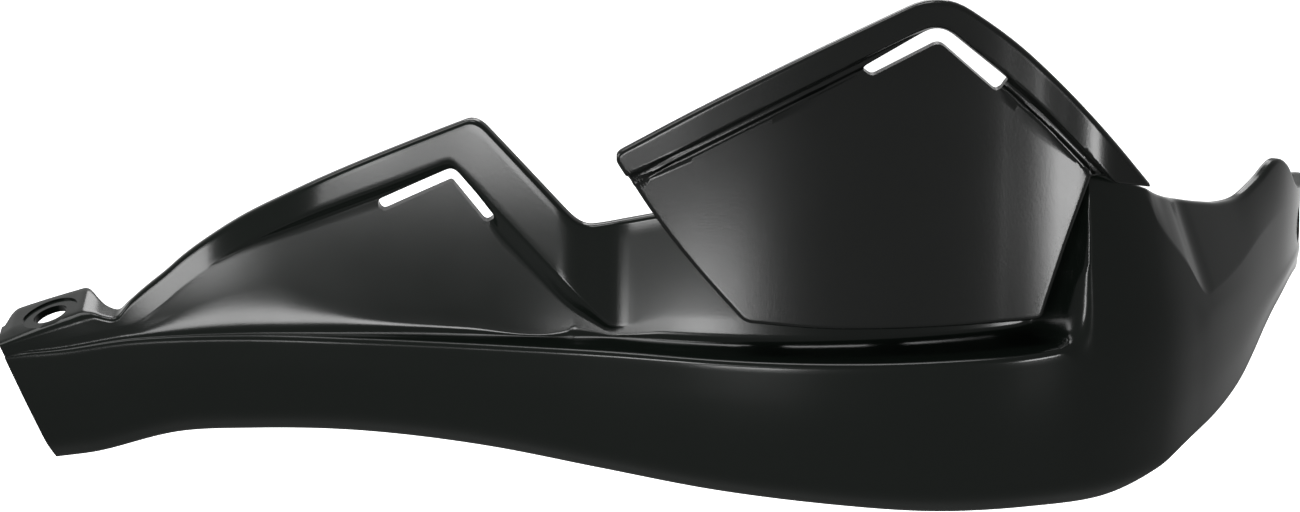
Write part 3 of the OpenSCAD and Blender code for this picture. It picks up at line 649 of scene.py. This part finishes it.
deflector = lofted("deflector_moulding", deflector_rings(columns))
bosses = []
for x, z in SCREW_AT:
    front = float(deflector_face(np.array([x]), np.array([z]))[0]) + BOSS_ROOT
    rear = seat_y(x, z) - BOSS_GAP
    bosses.append(rod(BOSS_RADIUS, rear - front, (x, (front + rear) / 2, z), ALONG_Y, 0.3))
combine(deflector, bosses, "UNION")
combine(deflector, at_screws(BOSS_HOLE, 20, BOSS_HOLE_MIDDLE), "DIFFERENCE")
slotted(deflector, DEFLECTOR_SLOT)
satin_black = plastic("satin black plastic", (0.0018, 0.0021, 0.0019), 0.1, Grain_Size=0.0005,
                      Gloss=0.19, Gloss_Spread=0.04, Grain_Depth=0.12)
deflector.data.materials.append(satin_black)
finished(deflector)
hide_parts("deflector")


# ---- Screws and washers ----
# Three zinc-plated steel screws with washers, put in from behind through the pads into the
# deflector's bosses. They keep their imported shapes, and get the plating's fine turned lines and
# its slow blue and straw tint.
plated, plated_tree, plated_shader = new_material("plated screw steel")
place = plated_tree.nodes.new("ShaderNodeTexCoord").outputs["Object"]
tint_spread = new_node(plated_tree, "ShaderNodeTexNoise", Vector=place, Scale=260, Detail=2)
tint = new_node(plated_tree, "ShaderNodeValToRGB", Fac=tint_spread.outputs["Fac"])
for element, at, colour in zip(tint.color_ramp.elements, (0.3, 0.7),
                               ((0.47, 0.50, 0.54, 1), (0.60, 0.58, 0.53, 1))):
    element.position, element.color = at, colour
stretched = new_node(plated_tree, "ShaderNodeMapping", Vector=place, Scale=(1, 0.1, 1))
turned = new_node(plated_tree, "ShaderNodeTexNoise", Vector=stretched.outputs["Vector"],
                  Scale=3000, Detail=2)
gleam = new_node(plated_tree, "ShaderNodeMapRange", Value=turned.outputs["Fac"], To_Min=0.22,
                 To_Max=0.42)
turned_lines = new_node(plated_tree, "ShaderNodeBump", Distance=0.00003, Strength=0.6,
                        Height=turned.outputs["Fac"])
set_inputs(plated_tree, plated_shader, Metallic=1, Base_Color=tint.outputs["Color"],
           Roughness=gleam.outputs["Result"], Normal=turned_lines.outputs["Normal"])
for name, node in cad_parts.items():
    if name.endswith(("screw", "washer")):
        node.data.materials.clear()
        node.data.materials.append(plated)


# ---- Floor, lights and camera ----
# A plain pale studio floor under the hand guard, a white surround, and soft lamps. The floor and
# the surround are white to the camera and in reflections, and the floor still takes the object's
# shadow.
FLOOR_Z = -0.30
bpy.ops.object.select_all(action="DESELECT")
bpy.ops.mesh.primitive_plane_add(size=12, location=(0.15, 0, FLOOR_Z))
floor = bpy.context.object
floor.name = "floor"


def ray_kinds(tree, *kinds):
    """1 for rays of these kinds, else 0."""
    path = tree.nodes.new("ShaderNodeLightPath").outputs
    seen = path[kinds[0]]
    for kind in kinds[1:]:
        seen = calculated(tree, "MAXIMUM", seen, path[kind])
    return seen


def show_blend(tree, output, share, first, second):
    """Puts a blend of two shaders into a tree's output node."""
    blend = tree.nodes.new("ShaderNodeMixShader")
    for socket, source in zip(blend.inputs, (share, first.outputs[0], second.outputs[0])):
        tree.links.new(source, socket)
    tree.links.new(blend.outputs[0], tree.nodes[output].inputs["Surface"])


pale, pale_tree, pale_shader = new_material("pale floor")
set_inputs(pale_tree, pale_shader, Base_Color=(0.8, 0.8, 0.8, 1), Roughness=0.9,
           Emission_Color=(0.75, 0.75, 0.75, 1),
           Emission_Strength=ray_kinds(pale_tree, "Is Camera Ray"))
plain_white = new_node(pale_tree, "ShaderNodeEmission", Color=(1, 1, 1, 1), Strength=1)
show_blend(pale_tree, "Material Output",
           ray_kinds(pale_tree, "Is Glossy Ray", "Is Transmission Ray"), pale_shader, plain_white)
floor.data.materials.append(pale)

world = bpy.data.worlds.new("studio")
bpy.context.scene.world = world
world.use_nodes = True
sky = world.node_tree
backdrop = sky.nodes["Background"]
set_inputs(sky, backdrop, Color=(1, 1, 1, 1), Strength=1)
fill_light = new_node(sky, "ShaderNodeBackground", Color=(1, 1, 1, 1), Strength=0.25)
show_blend(sky, "World Output",
           ray_kinds(sky, "Is Camera Ray", "Is Glossy Ray", "Is Transmission Ray"),
           fill_light, backdrop)


def softbox(name, distance, azimuth, elevation, width, height, power, towards):
    """A soft lamp seen from the object at an azimuth from the front, to the right, and an
    elevation, in degrees."""
    light = bpy.data.lights.new(name, "AREA")
    light.shape = "RECTANGLE"
    light.size, light.size_y, light.energy = width, height, power
    lamp = bpy.data.objects.new(name, light)
    bpy.context.scene.collection.objects.link(lamp)
    turn, lift = math.radians(azimuth), math.radians(elevation)
    away = Vector((math.sin(turn) * math.cos(lift), -math.cos(turn) * math.cos(lift),
                   math.sin(lift)))
    lamp.location = Vector(towards) + distance * away
    lamp.rotation_euler = away.to_track_quat("Z", "Y").to_euler()
    lamp.visible_camera = False


softbox("low right", 0.9, 21, -9, 0.18, 0.16, 6.5, (0.245, -0.027, 0.04))
softbox("low left", 0.45, -14, -14, 0.05, 0.05, 0.6, (0.166, -0.022, 0.025))
softbox("left wall", 0.45, -7, 4, 0.07, 0.09, 1.3, (0.05, -0.007, 0.01))
softbox("overhead", 0.9, -80, 82, 0.4, 0.3, 9.0, (0.2, -0.02, 0.0))
softbox("behind", 0.9, -172, 36, 0.6, 0.35, 7.0, (0.22, -0.02, 0.0))
softbox("high left", 0.9, -98, 52, 0.5, 0.4, 8.0, (0.255, -0.025, 0.01))
softbox("flank", 0.9, -82, 12, 0.35, 0.35, 8.0, (0.255, -0.025, 0.02))

camera_data = bpy.data.cameras.new("camera")
camera = bpy.data.objects.new("camera", camera_data)
bpy.context.scene.collection.objects.link(camera)
camera.location = (0.1532, -0.9397, 0.3578)
camera.rotation_euler = (math.radians(70), 0, 0)
camera_data.lens = 109.02
camera_data.sensor_width = 36
camera_data.clip_start = 0.01
bpy.context.scene.camera = camera
bpy.context.scene.view_settings.view_transform = "Standard"
